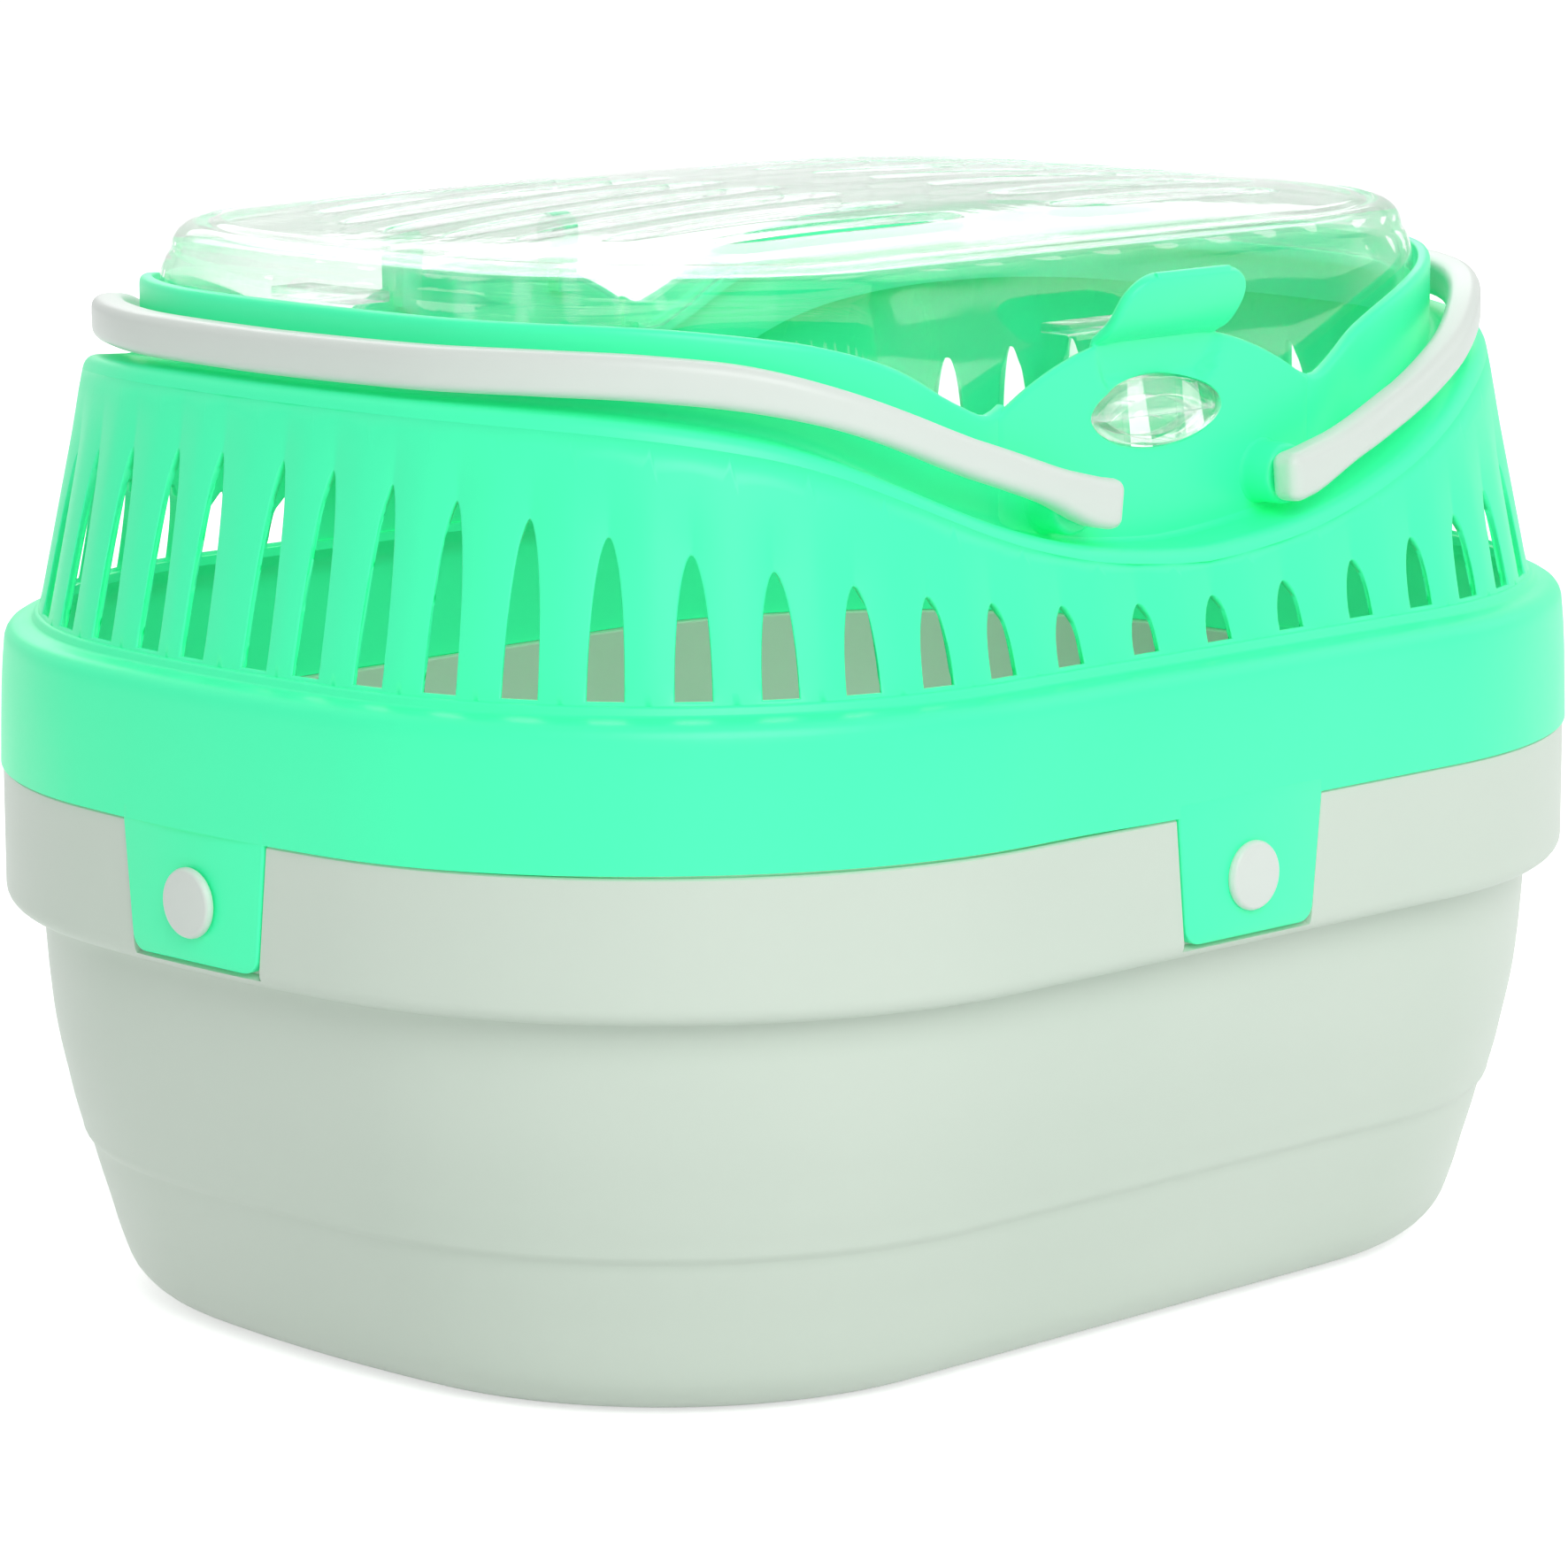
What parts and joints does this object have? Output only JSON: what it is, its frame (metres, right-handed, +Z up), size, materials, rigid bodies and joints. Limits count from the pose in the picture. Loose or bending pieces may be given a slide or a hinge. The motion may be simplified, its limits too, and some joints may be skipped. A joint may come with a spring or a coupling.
{
  "type": "small pet carrier",
  "caption": "Small pet carrier with a bathtub base, a slatted ventilated housing, a clear hinged vented lid with a sprung catch, and two fold-down bow handles.",
  "frame": {"origin": "centre of the foot of the tub, on the surface that the part stands on", "axes": "+X along the long side to the right when the catch faces the viewer, -Y towards the catch, +Z up"},
  "size_m": [0.304, 0.235, 0.2065],
  "materials": {
    "tub": "satin-gloss injection moulded, pale grey-green",
    "housing": "satin-gloss injection moulded, bright mint green",
    "clear": "clear glossy moulding",
    "trim": "satin, pale grey"
  },
  "bodies": {
    "carrier": {"base_tub": "tub", "slatted_housing": "housing"},
    "lid": {"clear_lid": "clear"},
    "catch": {"lid_catch": "clear"},
    "left_handle": {"handle_left": "trim"},
    "right_handle": {"handle_right": "trim"},
    "front_pin": {"lock_pin_front": "trim"},
    "rear_pin": {"lock_pin_rear": "trim"},
    "left_pin": {"lock_pin_left": "trim"},
    "right_pin": {"lock_pin_right": "trim"}
  },
  "joints": [
    {"name": "lid_hinge", "type": "hinge", "parent": "carrier", "child": "lid", "pos_m": [0, 0.0895, 0.1896], "axis": [1, 0, 0], "range_deg": [-100, 0], "deforming": ["lid_catch"]},
    {"name": "catch_press", "type": "hinge", "parent": "lid", "child": "catch", "pos_m": [0, -0.0886, 0.187], "axis": [1, 0, 0], "range_deg": [0, 12], "stiffness_Nm_per_rad": 0.6, "deforming": ["lid_catch"]},
    {"name": "left_handle_pivot", "type": "hinge", "parent": "carrier", "child": "left_handle", "pos_m": [-0.0285, 0, 0.157], "axis": [0, 1, 0], "range_deg": [0, 80]},
    {"name": "right_handle_pivot", "type": "hinge", "parent": "carrier", "child": "right_handle", "pos_m": [0.0285, 0, 0.157], "axis": [0, -1, 0], "range_deg": [0, 80]},
    {"name": "front_pin_pull", "type": "slide", "parent": "carrier", "child": "front_pin", "axis": [0, -1, 0], "range_m": [0, 0.006]},
    {"name": "rear_pin_pull", "type": "slide", "parent": "carrier", "child": "rear_pin", "axis": [0, 1, 0], "range_m": [0, 0.006]},
    {"name": "left_pin_pull", "type": "slide", "parent": "carrier", "child": "left_pin", "axis": [-1, 0, 0], "range_m": [0, 0.006]},
    {"name": "right_pin_pull", "type": "slide", "parent": "carrier", "child": "right_pin", "axis": [1, 0, 0], "range_m": [0, 0.006]}
  ]
}
